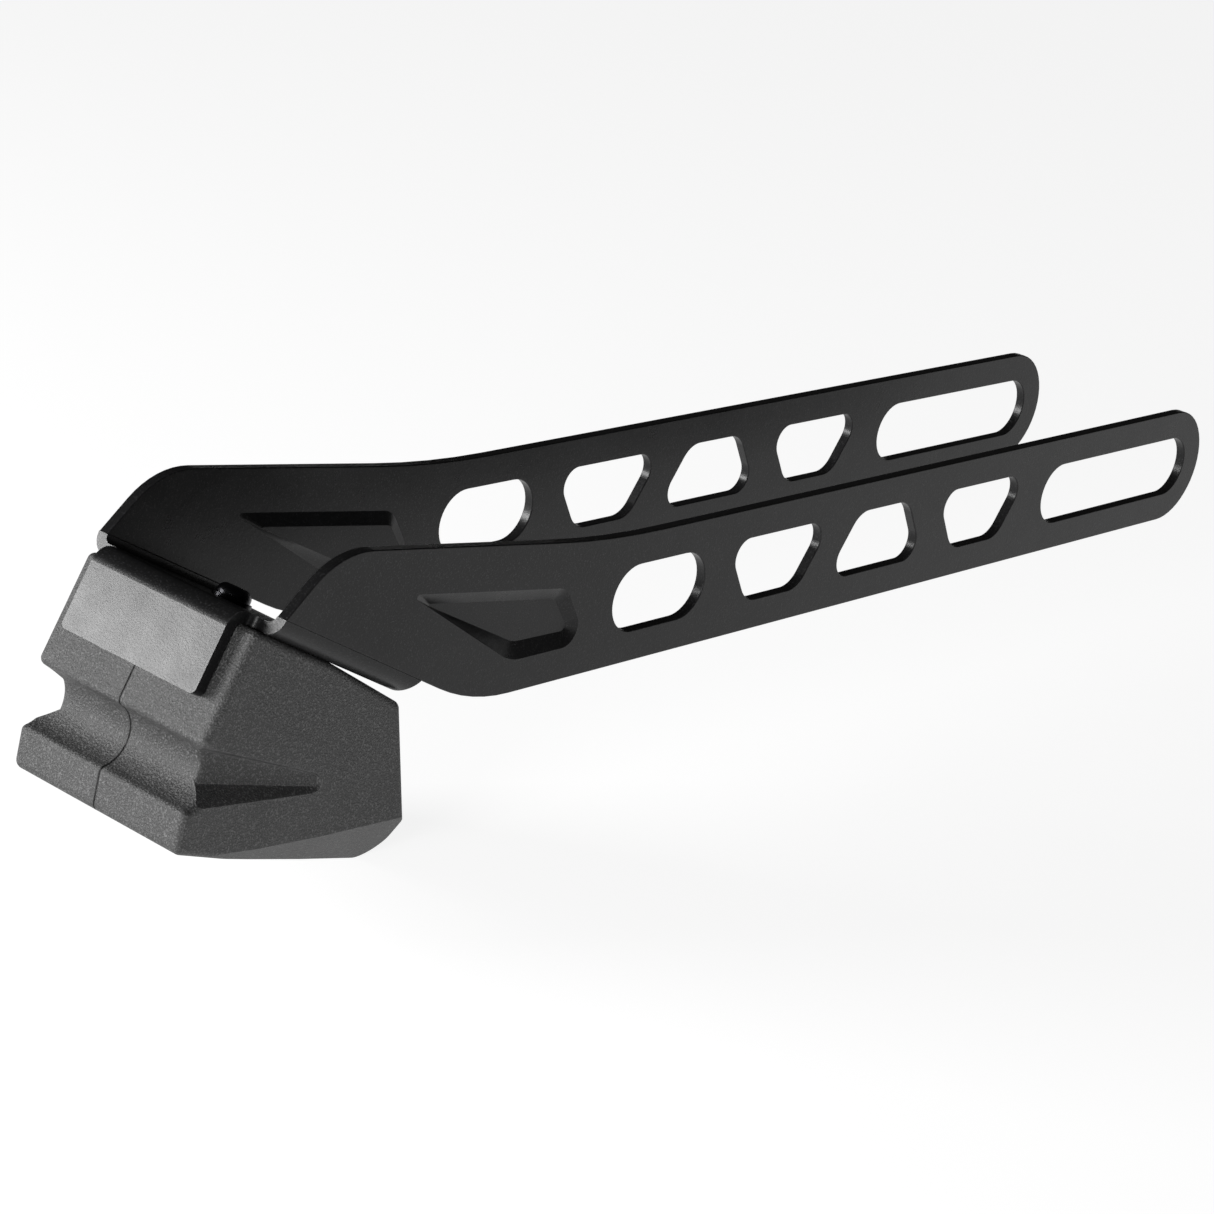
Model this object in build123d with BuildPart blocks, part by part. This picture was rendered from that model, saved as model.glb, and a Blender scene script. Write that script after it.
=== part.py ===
from build123d import *
import math
import os

# Tailgate step: a one-piece folded steel bracket with two long arms, and a
# two-piece moulded foot block under its sloping web.
# Frame: origin on the axis of the bar groove, on the centre plane.
# X across the step, +Y along the arms towards the slots, +Z up.  Millimetres.

# ---------------------------------------------------------------- dimensions
width = 102.0            # overall width over the two arms
t = 4.76                 # sheet thickness of the bracket
r_in = 3.0               # inner bend radius
r_out = r_in + t         # outer bend radius
x_in = width / 2 - t     # inner face of an arm
slope = 26.45            # fall of the web towards the rear, degrees

# bracket, in the web's own coordinates: U along the web, V normal to it
v_web = 58.46            # underside of the web
v_top = v_web + t        # upper side of the web
v_bend = v_web + r_out   # line where the side bends end and the arms begin
u_front = 5.03           # front end of the side bends
u_web_end = 83.83        # rear edge of the web
u_bend_end = 90.83       # rear end of the side bends
u_tab = -6.77            # front face of the tab
v_tab_end = 28.36        # lower edge of the tab
tab_half = 36.6          # half width of the tab
u_bolt = 31.3            # centre bolt through the web

# arms
z_mid = 31.8             # centre line of the straight part of the arms
arm_half = 27.9          # half height of the straight part
y_end = 636.1            # centre of the rounded rear end
slot_y, slot_len, hole_h = 587.8, 125.2, 28.8
trap_up = (324.2, 473.7)   # trapezoids with the wide side up
trap_down = (397.4,)       # trapezoid with the wide side down
trap_wide, trap_narrow = 35.5, 17.7
obround_y, obround_len = 247.0, 57.4
emboss_depth = 3.0
edge_r = 0.5             # softened cut edges of the arms

# foot block
block_half = 46.2        # half width of the block
groove_r = 12.7          # bar groove, for a 25.4 mm bar
u_face = -1.07           # front face behind the tab
wall_r = 3.0             # outer edge rounding
rear_out, rear_drop = 3.4, 5.6   # top rear corner, out and down from the web plane
split_c = 0.35           # chamfer along the parting line

# hardware
bolt_d, head_d, head_h, bolt_len = 8.0, 14.0, 4.4, 45.0
head_washer_d, head_washer_t = 16.0, 1.6
plate_u, plate_x, plate_t, v_plate = 24.0, 36.0, 3.0, 31.06
nut_af, nut_h = 13.0, 6.8
screw_yz = ((30.7, 32.8), (94.8, -23.2))     # cross screws, along X
dowel_yz = ((82.8, 16.8), (18.8, -25.2))     # dowel pins, along X
screw_d, screw_head_d, screw_head_h, screw_len = 6.0, 10.0, 6.0, 40.0
seat_x = -28.0           # screw seats in the left half
insert_d, insert_len = 8.6, 10.0
dowel_d, dowel_len = 5.0, 20.0

c, s = math.cos(math.radians(slope)), math.sin(math.radians(slope))


def yz(u, v):
    """(Y, Z) of a point given along and normal to the web."""
    return (u * c + v * s, -u * s + v * c)


def side_plane(x):
    """Plane facing +X whose local axes run along and normal to the web."""
    return Plane(origin=(x, 0, 0), x_dir=(0, c, -s), z_dir=(1, 0, 0))


def section_plane(u):
    """Plane across the web, facing down the slope; local y is the web normal."""
    o = (0, u * c, -u * s)
    return Plane(origin=o, x_dir=(-1, 0, 0), z_dir=(0, c, -s))


def normal_plane(u, v):
    """Plane facing along the web normal, centred on the bolt line."""
    y, z = yz(u, v)
    return Plane(origin=(0, y, z), x_dir=(1, 0, 0), z_dir=(0, s, c))


os.makedirs("parts", exist_ok=True)

# ------------------------------------------------------------------- bracket
arm_top = z_mid + arm_half
arm_bot = z_mid - arm_half
f0 = yz(u_front, v_bend)
y_lobe = (v_bend - arm_bot * c) / s          # bend line meets the lower edge
arm_pts = [
    f0,                                       # lower front corner
    (58.6, 79.4),                             # crown above the foot block
    (210.3, arm_top),                         # end of the falling top edge
    (y_end + arm_half, arm_top),
    (y_end + arm_half, arm_bot),
    (y_lobe, arm_bot),                        # rear of the lower lobe
]
arm_radii = [0, 36.0, 500.0, arm_half - 0.01, arm_half - 0.01, 90.0]

# emboss: kite-shaped dimple pressed inwards, floor outline and rim outline
floor_pts = [(109.1, 49.3), (184.8, 38.5), (195.4, 23.5), (163.3, 24.2)]
floor_radii = [0.5, 5.0, 2.0, 14.0]
rim_pts = [(97.3, 56.0), (188.0, 43.4), (205.1, 17.6), (160.0, 17.7)]
rim_radii = [1.2, 10.0, 8.0, 22.0]

with BuildPart() as bracket:
    # web with its two side bends
    with BuildSketch(section_plane(u_front)):
        with BuildLine():
            xb = width / 2 - r_out            # centre line of a side bend
            CenterArc((-xb, v_bend), r_out, 180, 90)
            Line((-xb, v_web), (xb, v_web))
            CenterArc((xb, v_bend), r_out, 270, 90)
            Line((width / 2, v_bend), (x_in, v_bend))
            CenterArc((xb, v_bend), r_in, 0, -90)
            Line((xb, v_top), (-xb, v_top))
            CenterArc((-xb, v_bend), r_in, 270, -90)
            Line((-x_in, v_bend), (-width / 2, v_bend))
        make_face()
    extrude(amount=u_bend_end - u_front)
    # rear edge of the web, and the slanted ends of the side bends
    with BuildSketch(side_plane(0)):
        Polygon((u_web_end, v_web - 2), (u_bend_end + 2, v_web - 2),
                (u_bend_end + 2, v_top + 3), (u_web_end, v_top + 3), align=None)
    extrude(amount=x_in - r_in - 1, both=True, mode=Mode.SUBTRACT)
    with BuildSketch(side_plane(0)):
        Polygon((u_web_end, v_web - 2), (u_bend_end + 6, v_web - 2),
                (u_bend_end + 6, v_bend), (u_bend_end - 0.5, v_bend), align=None)
    extrude(amount=width, both=True, mode=Mode.SUBTRACT)
    # front tab, bent down square to the web
    with BuildSketch(side_plane(0)):
        with BuildLine():
            FilletPolyline((u_front + 6, v_top), (u_tab, v_top),
                           (u_tab, v_tab_end), radius=r_out)
            Line((u_tab, v_tab_end), (u_tab + t, v_tab_end))
            FilletPolyline((u_tab + t, v_tab_end), (u_tab + t, v_web),
                           (u_front + 6, v_web), radius=r_in)
            Line((u_front + 6, v_web), (u_front + 6, v_top))
        make_face()
    extrude(amount=tab_half, both=True)
    # arms with their slots, obrounds and trapezoid windows; cut edges softened
    with BuildPart(mode=Mode.PRIVATE) as arm:
        with BuildSketch(Plane.YZ):
            with BuildLine():
                FilletPolyline(*arm_pts, radius=arm_radii, close=True)
            make_face()
        extrude(amount=t)
        with BuildSketch(Plane.YZ):
            with Locations((slot_y, z_mid)):
                SlotOverall(slot_len, hole_h)
            with Locations((obround_y, z_mid)):
                SlotOverall(obround_len, hole_h)
        extrude(amount=t, mode=Mode.SUBTRACT)
        for yc, sg in [(y, 1) for y in trap_up] + [(y, -1) for y in trap_down]:
            h = hole_h / 2
            with BuildSketch(Plane.YZ):
                with BuildLine():
                    FilletPolyline(
                        (yc - trap_wide, z_mid + sg * h), (yc + trap_wide, z_mid + sg * h),
                        (yc + trap_narrow, z_mid - sg * h), (yc - trap_narrow, z_mid - sg * h),
                        radius=[8.3, 8.3, 11.8, 11.8], close=True)
                make_face()
            extrude(amount=t, mode=Mode.SUBTRACT)
        cut = [e for e in arm.edges()
               if e.bounding_box().size.X < 0.01
               and not (e.geom_type == GeomType.LINE
                        and abs(e.center().Y * s + e.center().Z * c - v_bend) < 0.05)]
        fillet(cut, edge_r)
    with Locations((x_in, 0, 0), (-width / 2, 0, 0)):
        add(arm.part)
    # dimples: raised on the inner face, sunk in the outer face
    for sg in (1, -1):
        for face_x, mode in ((x_in, Mode.ADD), (width / 2, Mode.SUBTRACT)):
            for x, pts, radii in (
                    (face_x, rim_pts, rim_radii),
                    (face_x - emboss_depth, floor_pts, floor_radii)):
                with BuildSketch(Plane.YZ.offset(sg * x)):
                    with BuildLine():
                        FilletPolyline(*pts, radius=radii, close=True)
                    make_face()
            loft(ruled=True, mode=mode)
    # bolt hole in the web
    with BuildSketch(normal_plane(u_bolt, v_web - 1)):
        Circle(9.0 / 2)
    extrude(amount=t + 2, mode=Mode.SUBTRACT)
    # relief curves where the tab leaves the side bends
    relief = [e for e in bracket.edges().filter_by(GeomType.LINE)
              if abs(e.length - t) < 0.01
              and abs(abs(e.center().X) - tab_half) < 0.05
              and (e.center() - Vector(e.center().X, *yz(u_front, v_web + t / 2))).length < 0.1]
    fillet(relief, 3.5)
    # rounded lower corners of the tab
    tab_edges = [e for e in bracket.edges().filter_by(GeomType.LINE)
                 if abs(e.length - t) < 0.01
                 and (e.center() - Vector(e.center().X, *yz(u_tab + t / 2, v_tab_end))).length < 0.1]
    fillet(tab_edges, 2.5)
bracket.part.label = "bracket"
export_step(bracket.part, "parts/bracket.step")

# ---------------------------------------------------------------- foot block
top_rear = (103.3, 14.0)
rear_low = (123.6, -67.8)
front_low = (-1.8, -29.4)
lip = (0.0, -groove_r)
# nose: the front face meets the groove
nose = yz(u_face, math.sqrt(groove_r ** 2 - u_face ** 2))
a_nose = math.degrees(math.atan2(nose[1], nose[0]))
top_front = yz(u_face, v_web)
# rear face meets the top plane exactly
slope_r = (rear_low[0] - top_rear[0]) / (rear_low[1] - top_rear[1])
v_t = v_web
u_tr = (top_rear[0] - slope_r * top_rear[1] - v_t * (s - slope_r * c)) / (c + slope_r * s)
top_rear = yz(u_tr, v_t)
# behind the load plate the top falls away from the web and leaves a gap
top_break = yz(46.0, v_web)
top_rear = (top_rear[0] + rear_out, top_rear[1] - rear_drop)

# wedge recess in each side face: Y, upper edge Z, lower edge Z, depth
recess = ((-7.0, 16.8, -11.0, 10.0), (64.4, -10.8, -19.1, 2.4),
          (66.9, -12.2, -18.6, 1.9), (68.3, -13.8, -17.7, 1.1),
          (68.9, -15.4, -16.4, 0.1))


def half_block(sg):
    """One moulded half, sg = +1 for the right side and -1 for the left."""
    with BuildPart() as half:
        with BuildSketch(Plane.YZ):
            with BuildLine():
                Line(top_front, nose)
                CenterArc((0, 0), groove_r, a_nose, -90 - a_nose)
                Line(lip, front_low)
                Line(front_low, rear_low)
                Line(rear_low, top_rear)
                Line(top_rear, top_break)
                Line(top_break, top_front)
            make_face()
        extrude(amount=sg * block_half)
        # long edges along X
        def x_edges(p):
            return [e for e in half.edges().filter_by(Axis.X)
                    if abs(e.center().Y - p[0]) < 0.3 and abs(e.center().Z - p[1]) < 0.3]
        fillet(x_edges(rear_low), 9.0)
        fillet(x_edges(front_low), 4.0)
        fillet(x_edges(lip), 2.5)
        fillet(x_edges(nose), 3.0)
        fillet(x_edges(top_rear), 4.0)
        fillet(x_edges(top_front), 3.0)
        # rounded rim of the outer face
        outer = half.faces().sort_by(Axis.X)[-1 if sg > 0 else 0]
        fillet(outer.edges(), wall_r)
        inner = half.faces().sort_by(Axis.X)[0 if sg > 0 else -1]
        chamfer(inner.edges(), split_c)
        # lower side facet, widening towards the rear
        for y, w, h, zu in ((-7.2, 0.6, 0.8, -29.2), (18.8, 1.6, 2.1, -33.4),
                            (38.8, 4.2, 5.6, -35.8), (72.8, 10.0, 13.6, -38.5),
                            (112.8, 18.4, 24.6, -40.5), (132.8, 23.0, 30.5, -41.0)):
            zb = zu - h
            k = 1.6
            with BuildSketch(Plane.XZ.offset(-y)):
                Polygon((sg * block_half, zu), (sg * (block_half - k * w), zu - k * h),
                        (sg * (block_half + 30), zu - k * h - 20),
                        (sg * (block_half + 30), zu + 30 * h / w), align=None)
        loft(ruled=True, mode=Mode.SUBTRACT)
        # wedge recess running back from the groove in the side face
        for y, zu, zl, d in recess:
            with BuildSketch(Plane.XZ.offset(-y)):
                Polygon((sg * (block_half + 1), zu + 0.35), (sg * (block_half - d), zu - 0.35 * d),
                        (sg * (block_half - d), zl + 0.8 * d), (sg * (block_half + 1), zl - 0.8),
                        align=None)
        loft(ruled=True, mode=Mode.SUBTRACT)
        # rounded end of the groove where it runs out into the recess
        run_out = [e for e in half.edges()
                   if 37.5 < abs(e.center().X) < 39 and 10 < e.center().Y < 13
                   and 14 < e.length < 15]
        fillet(run_out, 2.0)
        # bolt channel, load-plate pocket and nut pocket across the split
        with BuildSketch(normal_plane(u_bolt, 11.0)):
            Circle(9.0 / 2)
        extrude(amount=v_web - 8, mode=Mode.SUBTRACT)
        with BuildSketch(normal_plane(u_bolt, v_plate)):
            Rectangle(plate_x + 0.4, plate_u + 0.4)
        extrude(amount=plate_t, mode=Mode.SUBTRACT)
        with BuildSketch(normal_plane(u_bolt, v_plate - nut_h - 9)):
            Rectangle(15.6, nut_af + 0.2)
        extrude(amount=nut_h + 9, mode=Mode.SUBTRACT)
        # cored pockets open to the split face
        for y0, y1, z0, z1, d in ((64.8, 97.8, -9.2, 6.8, 36), (50.8, 80.8, -39.2, -15.2, 35),
                                  (26.8, 44.8, -30.2, -13.2, 30), (88.8, 108.8, -51.2, -38.2, 27)):
            with BuildSketch(Plane.YZ):
                with Locations(((y0 + y1) / 2, (z0 + z1) / 2)):
                    RectangleRounded(y1 - y0, z1 - z0, 2.5)
            extrude(amount=sg * d, mode=Mode.SUBTRACT)
        # dowel holes
        with BuildSketch(Plane.YZ):
            with Locations(*dowel_yz):
                Circle(dowel_d / 2)
        extrude(amount=sg * (dowel_len / 2 + 0.5), mode=Mode.SUBTRACT)
        if sg < 0:
            # clearance holes with deep counterbores from the outer face
            with BuildSketch(Plane.YZ):
                with Locations(*screw_yz):
                    Circle(6.6 / 2)
            extrude(amount=-block_half, mode=Mode.SUBTRACT)
            with BuildSketch(Plane.YZ.offset(seat_x)):
                with Locations(*screw_yz):
                    Circle(13.0 / 2)
            extrude(amount=-30, mode=Mode.SUBTRACT)
        else:
            # blind holes for the threaded inserts
            with BuildSketch(Plane.YZ):
                with Locations(*screw_yz):
                    Circle(insert_d / 2)
            extrude(amount=insert_len, mode=Mode.SUBTRACT)
            with BuildSketch(Plane.YZ):
                with Locations(*screw_yz):
                    Circle(6.6 / 2)
            extrude(amount=15, mode=Mode.SUBTRACT)
    return half


foot_block_right = half_block(1)
foot_block_right.part.label = "foot_block_right"
export_step(foot_block_right.part, "parts/foot_block_right.step")
foot_block_left = half_block(-1)
foot_block_left.part.label = "foot_block_left"
export_step(foot_block_left.part, "parts/foot_block_left.step")

# ------------------------------------------------------------------ web bolt
with BuildPart() as web_bolt:
    with BuildSketch(normal_plane(u_bolt, v_top + head_washer_t)):
        Circle(head_d / 2)
    extrude(amount=head_h)
    fillet(web_bolt.edges().group_by(Axis((0, 0, 0), (0, s, c)))[-1], 3.6)
    with BuildSketch(normal_plane(u_bolt, v_top + head_washer_t)):
        Circle(bolt_d / 2 - 0.05)
    extrude(amount=-bolt_len)
    with BuildSketch(normal_plane(u_bolt, v_top + head_washer_t + head_h)):
        RegularPolygon(5.0 / 2, 6, major_radius=False)
    extrude(amount=-2.8, mode=Mode.SUBTRACT)
    tip = web_bolt.edges().group_by(Axis((0, 0, 0), (0, s, c)))[0]
    chamfer(tip, 1.0)
web_bolt.part.label = "web_bolt"
export_step(web_bolt.part, "parts/web_bolt.step")

# ------------------------------------------------- washer under the bolt head
with BuildPart() as web_washer:
    with BuildSketch(normal_plane(u_bolt, v_top)):
        Circle(head_washer_d / 2)
        Circle(8.4 / 2, mode=Mode.SUBTRACT)
    extrude(amount=head_washer_t)
    chamfer(web_washer.edges().group_by(Axis((0, 0, 0), (0, s, c)))[-1].sort_by(SortBy.RADIUS)[-1], 0.3)
web_washer.part.label = "web_washer"
export_step(web_washer.part, "parts/web_washer.step")

# -------------------------------------------------- load plate and hex nut
with BuildPart() as clamp_plate:
    with BuildSketch(normal_plane(u_bolt, v_plate)):
        RectangleRounded(plate_x, plate_u, 1.5)
        Circle(8.5 / 2, mode=Mode.SUBTRACT)
    extrude(amount=plate_t)
clamp_plate.part.label = "clamp_plate"
export_step(clamp_plate.part, "parts/clamp_plate.step")

with BuildPart() as clamp_nut:
    with BuildSketch(normal_plane(u_bolt, v_plate - nut_h)):
        RegularPolygon(nut_af / 2, 6, major_radius=False)
        Circle(bolt_d / 2, mode=Mode.SUBTRACT)
    extrude(amount=nut_h)
clamp_nut.part.label = "clamp_nut"
export_step(clamp_nut.part, "parts/clamp_nut.step")

# ------------------------------------------- cross screws, washers, inserts
washer_t = 1.6
with BuildPart() as cross_screws:
    with BuildSketch(Plane.YZ.offset(seat_x - washer_t)):
        with Locations(*screw_yz):
            Circle(screw_head_d / 2)
    extrude(amount=-screw_head_h)
    chamfer(cross_screws.edges().group_by(Axis.X)[0], 0.6)
    with BuildSketch(Plane.YZ.offset(seat_x - washer_t)):
        with Locations(*screw_yz):
            Circle(screw_d / 2 - 0.05)
    extrude(amount=screw_len)
    with BuildSketch(Plane.YZ.offset(seat_x - washer_t - screw_head_h)):
        with Locations(*screw_yz):
            RegularPolygon(5.0 / 2, 6, major_radius=False)
    extrude(amount=3.0, mode=Mode.SUBTRACT)
cross_screws.part.label = "cross_screws"
export_step(cross_screws.part, "parts/cross_screws.step")

with BuildPart() as cross_washers:
    with BuildSketch(Plane.YZ.offset(seat_x)):
        with Locations(*screw_yz):
            Circle(12.0 / 2)
        with Locations(*screw_yz):
            Circle(6.4 / 2, mode=Mode.SUBTRACT)
    extrude(amount=-washer_t)
cross_washers.part.label = "cross_washers"
export_step(cross_washers.part, "parts/cross_washers.step")

with BuildPart() as threaded_inserts:
    with BuildSketch(Plane.YZ):
        with Locations(*screw_yz):
            Circle(insert_d / 2)
        with Locations(*screw_yz):
            Circle(screw_d / 2, mode=Mode.SUBTRACT)
    extrude(amount=insert_len)
threaded_inserts.part.label = "threaded_inserts"
export_step(threaded_inserts.part, "parts/threaded_inserts.step")

with BuildPart() as dowel_pins:
    with BuildSketch(Plane.YZ.offset(-dowel_len / 2)):
        with Locations(*dowel_yz):
            Circle(dowel_d / 2)
    extrude(amount=dowel_len)
    chamfer(dowel_pins.edges().group_by(Axis.X)[0] + dowel_pins.edges().group_by(Axis.X)[-1], 0.5)
dowel_pins.part.label = "dowel_pins"
export_step(dowel_pins.part, "parts/dowel_pins.step")
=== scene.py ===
import bpy
from mathutils import Matrix, Vector


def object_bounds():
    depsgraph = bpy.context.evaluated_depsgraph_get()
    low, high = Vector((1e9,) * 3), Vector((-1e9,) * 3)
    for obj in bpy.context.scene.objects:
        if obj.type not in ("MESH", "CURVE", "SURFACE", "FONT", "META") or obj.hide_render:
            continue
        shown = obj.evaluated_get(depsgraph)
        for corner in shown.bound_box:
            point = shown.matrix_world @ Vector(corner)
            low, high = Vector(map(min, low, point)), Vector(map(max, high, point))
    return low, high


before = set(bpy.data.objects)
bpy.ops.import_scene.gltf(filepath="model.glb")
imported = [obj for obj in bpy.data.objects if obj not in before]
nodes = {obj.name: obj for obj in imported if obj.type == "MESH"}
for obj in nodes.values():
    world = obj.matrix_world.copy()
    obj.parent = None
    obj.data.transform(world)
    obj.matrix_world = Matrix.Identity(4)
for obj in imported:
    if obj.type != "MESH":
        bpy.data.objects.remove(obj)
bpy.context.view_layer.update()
scene = bpy.context.scene

# ------------------------------------------------------------------- camera
# rows: right, down, forward of the view; position in metres
ROWS = ((0.741831, 0.653818, 0.149027),
        (0.329594, -0.161955, -0.930128),
        (-0.583999, 0.739116, -0.335638))
CAM_AT = (0.829919, -0.771211, 0.478527)
FOCAL_PX, IMAGE_PX = 3346.24, 1214.0

cam_data = bpy.data.cameras.new("view_camera")
cam_data.sensor_width = 36.0
cam_data.lens = FOCAL_PX / IMAGE_PX * 36.0
cam_data.clip_start, cam_data.clip_end = 0.05, 60.0
cam = bpy.data.objects.new("view_camera", cam_data)
scene.collection.objects.link(cam)
right, down, forward = (Vector(r) for r in ROWS)
m = Matrix((right, -down, -forward)).transposed().to_4x4()
m.translation = Vector(CAM_AT)
cam.matrix_world = m
scene.camera = cam


# ---------------------------------------------------------------- materials
class Net:
    """A small helper for wiring one material."""

    def __init__(self, name):
        self.mat = bpy.data.materials.new(name)
        self.mat.use_nodes = True
        self.n = self.mat.node_tree.nodes
        self.l = self.mat.node_tree.links
        self.n.clear()
        self.out = self.n.new("ShaderNodeOutputMaterial")
        self.bsdf = self.n.new("ShaderNodeBsdfPrincipled")
        self.l.new(self.bsdf.outputs[0], self.out.inputs["Surface"])
        self.co = self.n.new("ShaderNodeTexCoord").outputs["Object"]

    def noise(self, scale, detail=2.0, rough=0.5, vec=None):
        t = self.n.new("ShaderNodeTexNoise")
        t.inputs["Scale"].default_value = scale
        t.inputs["Detail"].default_value = detail
        t.inputs["Roughness"].default_value = rough
        self.l.new(vec or self.co, t.inputs["Vector"])
        return t.outputs[0]

    def voronoi(self, scale):
        t = self.n.new("ShaderNodeTexVoronoi")
        t.inputs["Scale"].default_value = scale
        self.l.new(self.co, t.inputs["Vector"])
        return t.outputs["Distance"]

    def ramp(self, src, stops):
        r = self.n.new("ShaderNodeValToRGB")
        e = r.color_ramp.elements
        e[0].position, e[0].color = stops[0][0], (*stops[0][1], 1)
        e[1].position, e[1].color = stops[-1][0], (*stops[-1][1], 1)
        for p, c in stops[1:-1]:
            x = e.new(p)
            x.color = (*c, 1)
        self.l.new(src, r.inputs[0])
        return r.outputs[0]

    def remap(self, src, a, b, c, d):
        r = self.n.new("ShaderNodeMapRange")
        for i, v in zip(("From Min", "From Max", "To Min", "To Max"), (a, b, c, d)):
            r.inputs[i].default_value = v
        self.l.new(src, r.inputs["Value"])
        return r.outputs[0]

    def math(self, op, a, b=None):
        x = self.n.new("ShaderNodeMath")
        x.operation = op
        for i, v in enumerate((a, b)):
            if v is None:
                continue
            if isinstance(v, (int, float)):
                x.inputs[i].default_value = v
            else:
                self.l.new(v, x.inputs[i])
        return x.outputs[0]

    def mix(self, fac, a, b):
        x = self.n.new("ShaderNodeMix")
        x.data_type = "RGBA"
        self.l.new(fac, x.inputs[0])
        for i, v in ((6, a), (7, b)):
            if isinstance(v, tuple):
                x.inputs[i].default_value = (*v, 1)
            else:
                self.l.new(v, x.inputs[i])
        return x.outputs[2]

    def bump(self, height, dist, strength=1.0, normal=None):
        b = self.n.new("ShaderNodeBump")
        b.inputs["Strength"].default_value = strength
        b.inputs["Distance"].default_value = dist
        self.l.new(height, b.inputs["Height"])
        if normal is not None:
            self.l.new(normal, b.inputs["Normal"])
        return b.outputs[0]

    def edge(self, radius):
        """0 on flats, rising towards 1 on outside and inside edges."""
        b = self.n.new("ShaderNodeBevel")
        b.samples = 4
        b.inputs["Radius"].default_value = radius
        g = self.n.new("ShaderNodeNewGeometry")
        d = self.n.new("ShaderNodeVectorMath")
        d.operation = "DOT_PRODUCT"
        self.l.new(b.outputs[0], d.inputs[0])
        self.l.new(g.outputs["Normal"], d.inputs[1])
        return self.remap(d.outputs["Value"], 1.0, 0.80, 0.0, 1.0)

    def set(self, **kw):
        for k, v in kw.items():
            s = self.bsdf.inputs[k.replace("_", " ")]
            if isinstance(v, (int, float)):
                s.default_value = v
            elif isinstance(v, tuple):
                s.default_value = (*v, 1)
            else:
                self.l.new(v, s)


def powder_coat():
    k = Net("powder_coat")
    broad = k.noise(26.0, 3.0)
    grain = k.noise(1500.0, 2.0, 0.6)
    peel = k.noise(620.0, 2.0, 0.5)
    base = k.ramp(broad, [(0.30, (0.0054, 0.0054, 0.0056)), (0.70, (0.0086, 0.0086, 0.0089))])
    fleck = k.ramp(grain, [(0.56, (0, 0, 0)), (0.74, (1, 1, 1))])
    base = k.mix(fleck, base, (0.032, 0.032, 0.033))
    worn = k.math("MULTIPLY", k.edge(0.0006), k.remap(k.noise(190.0, 4.0), 0.35, 0.75, 0.15, 0.7))
    base = k.mix(worn, base, (0.060, 0.060, 0.062))
    rough = k.remap(k.noise(70.0, 3.0), 0.3, 0.7, 0.27, 0.33)
    k.set(Base_Color=base, Roughness=rough, Specular_IOR_Level=0.23)
    k.set(Normal=k.bump(grain, 0.00007, 0.70, k.bump(peel, 0.00008, 0.35)))
    return k.mat


def moulded_block():
    k = Net("moulded_block")
    broad = k.noise(40.0, 3.0)
    grain = k.noise(1350.0, 2.0, 0.6)
    cell = k.voronoi(900.0)
    base = k.ramp(broad, [(0.30, (0.023, 0.023, 0.023)), (0.70, (0.031, 0.031, 0.031))])
    speck = k.ramp(grain, [(0.50, (0, 0, 0)), (0.72, (1, 1, 1))])
    base = k.mix(speck, base, (0.130, 0.130, 0.130))
    edge = k.math("MULTIPLY", k.edge(0.0014), k.remap(k.noise(260.0, 4.0), 0.35, 0.70, 0.2, 0.85))
    base = k.mix(edge, base, (0.120, 0.120, 0.120))
    # painted shade: a near-black band along the parting line (|x| under 0.40-0.85 mm) stands in
    # for the shadow inside the split's groove
    sep = k.n.new("ShaderNodeSeparateXYZ")
    k.l.new(k.co, sep.inputs[0])
    parting_line_shade = k.remap(k.math("ABSOLUTE", sep.outputs[0]), 0.00040, 0.00085, 1.0, 0.0)
    # the 0.004 colour here is painted shade in the split line
    base = k.mix(parting_line_shade, base, (0.004, 0.004, 0.004))
    rough = k.remap(grain, 0.3, 0.7, 0.50, 0.66)
    k.set(Base_Color=base, Roughness=rough, Specular_IOR_Level=0.5)
    k.set(Normal=k.bump(grain, 0.00050, 0.95, k.bump(cell, 0.00022, 0.50)))
    return k.mat


def metal(name, colour, dark, rough, scale=900.0, metallic=1.0):
    k = Net(name)
    stretch = k.n.new("ShaderNodeMapping")
    stretch.inputs["Scale"].default_value = (1.0, 1.0, 6.0)
    k.l.new(k.co, stretch.inputs["Vector"])
    lines = k.noise(scale, 3.0, 0.6, stretch.outputs[0])
    spots = k.noise(140.0, 4.0)
    base = k.mix(k.remap(spots, 0.35, 0.7, 0.0, 1.0), colour, dark)
    k.set(Base_Color=base, Metallic=metallic)
    k.set(Roughness=k.remap(lines, 0.3, 0.7, rough - 0.07, rough + 0.07))
    k.set(Normal=k.bump(lines, 0.00002, 0.4))
    return k.mat


coat = powder_coat()
block = moulded_block()
oxide = metal("black_oxide", (0.040, 0.040, 0.043), (0.018, 0.018, 0.020), 0.30)
zinc = metal("zinc_steel", (0.56, 0.57, 0.58), (0.40, 0.41, 0.43), 0.30)
brass = metal("insert_brass", (0.72, 0.53, 0.24), (0.50, 0.36, 0.15), 0.28)
ground = metal("ground_steel", (0.60, 0.60, 0.60), (0.46, 0.46, 0.47), 0.22)

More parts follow.
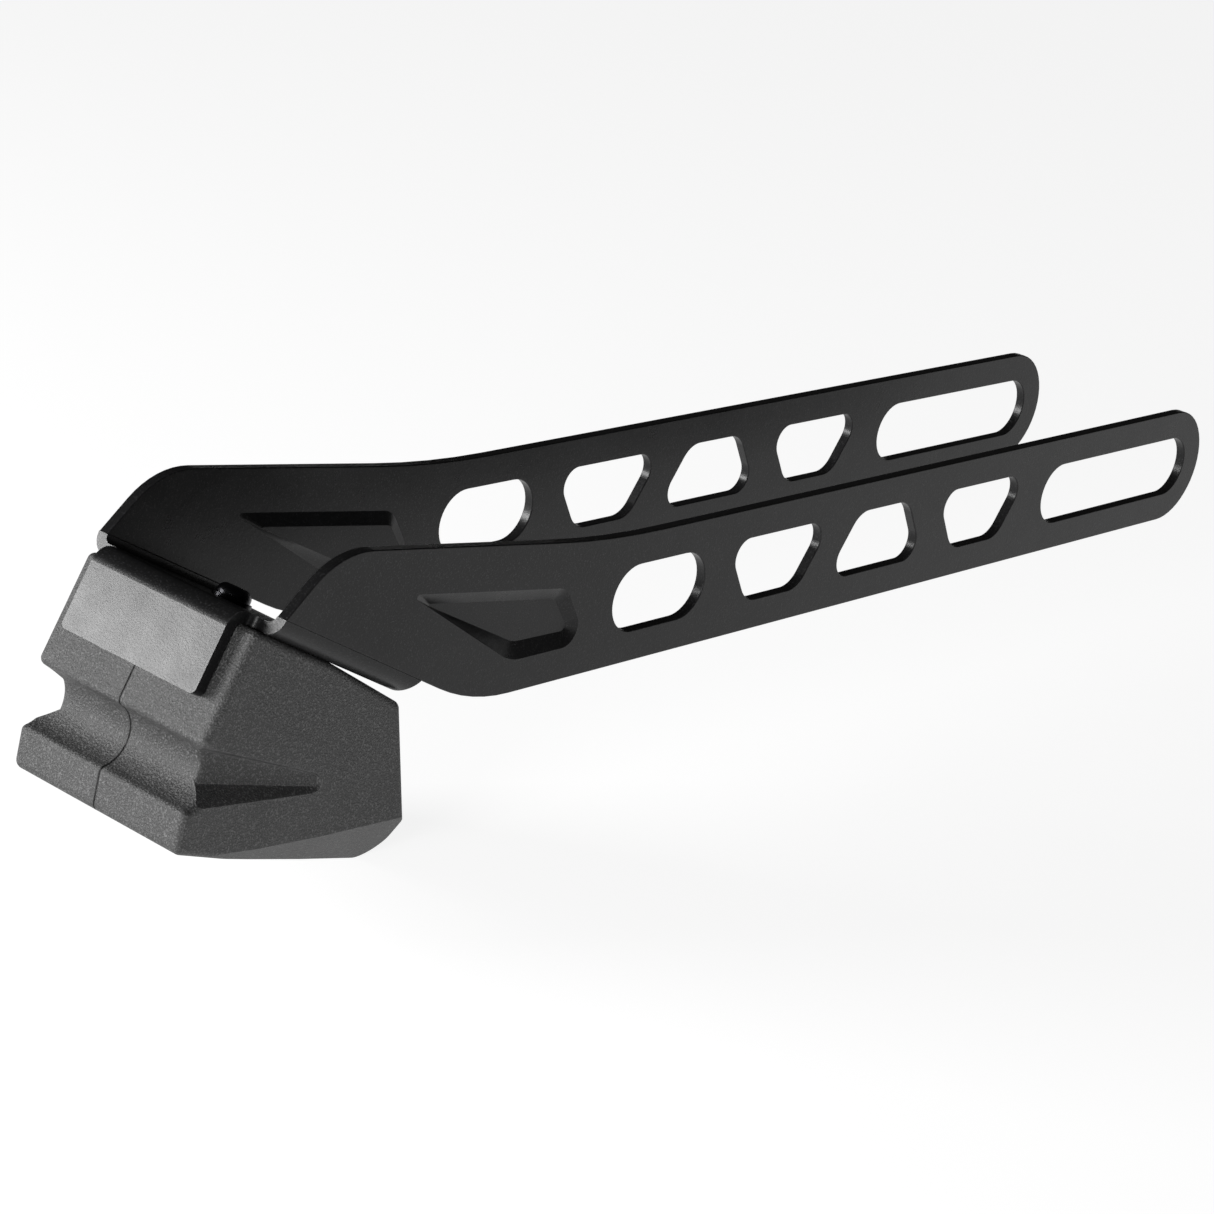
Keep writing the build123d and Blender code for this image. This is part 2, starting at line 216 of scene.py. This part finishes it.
finish_of = {
    "bracket": coat, "foot_block_right": block, "foot_block_left": block,
    "web_bolt": oxide, "web_washer": oxide, "clamp_plate": zinc, "clamp_nut": zinc,
    "cross_screws": oxide, "cross_washers": zinc,
    "threaded_inserts": brass, "dowel_pins": ground,
}
for name, mat in finish_of.items():
    data = nodes[name].data
    data.materials.clear()
    data.materials.append(mat)


# -------------------------------------------------------------------- stage
lo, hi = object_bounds()
mid = (lo + hi) / 2


def plane(name, centre, half):
    me = bpy.data.meshes.new(name)
    me.from_pydata([(centre[0] + a * half, centre[1] + b * half, centre[2])
                    for a, b in ((-1, -1), (1, -1), (1, 1), (-1, 1))], [], [(0, 1, 2, 3)])
    o = bpy.data.objects.new(name, me)
    scene.collection.objects.link(o)
    return o


floor = plane("studio_floor", (mid.x, mid.y, lo.z - 0.0004), 14.0)
fm = bpy.data.materials.new("floor_white")
fm.use_nodes = True
fb = fm.node_tree.nodes["Principled BSDF"]
fb.inputs["Base Color"].default_value = (0.30, 0.30, 0.30, 1)
fb.inputs["Roughness"].default_value = 0.9
fb.inputs["Specular IOR Level"].default_value = 0.1
fb.inputs["Emission Color"].default_value = (1, 1, 1, 1)
fb.inputs["Emission Strength"].default_value = 0.88
floor.data.materials.append(fm)

world = bpy.data.worlds.new("studio")
world.use_nodes = True
world.node_tree.nodes["Background"].inputs[0].default_value = (1, 1, 1, 1)
world.node_tree.nodes["Background"].inputs[1].default_value = 0.02
scene.world = world
scene.view_settings.view_transform = "Standard"


def softbox(name, at, aim, size_x, size_y, power):
    d = bpy.data.lights.new(name, "AREA")
    d.shape = "RECTANGLE"
    d.size, d.size_y, d.energy = size_x, size_y, power
    o = bpy.data.objects.new(name, d)
    scene.collection.objects.link(o)
    o.location = at
    o.rotation_mode = "QUATERNION"
    o.rotation_quaternion = (Vector(aim) - Vector(at)).to_track_quat("-Z", "Y")
    return o


# front-left box that the tab looks into
softbox("front_box", (-1.05, -1.10, 0.36), (0, 0.02, 0.0), 0.8, 0.5, 34.0)
# box near the viewer: brightens the right of the front and the rounded front corner
softbox("viewer_box", (0.45, -1.30, 0.36), (0.02, 0.02, 0.0), 0.5, 0.4, 13.0)
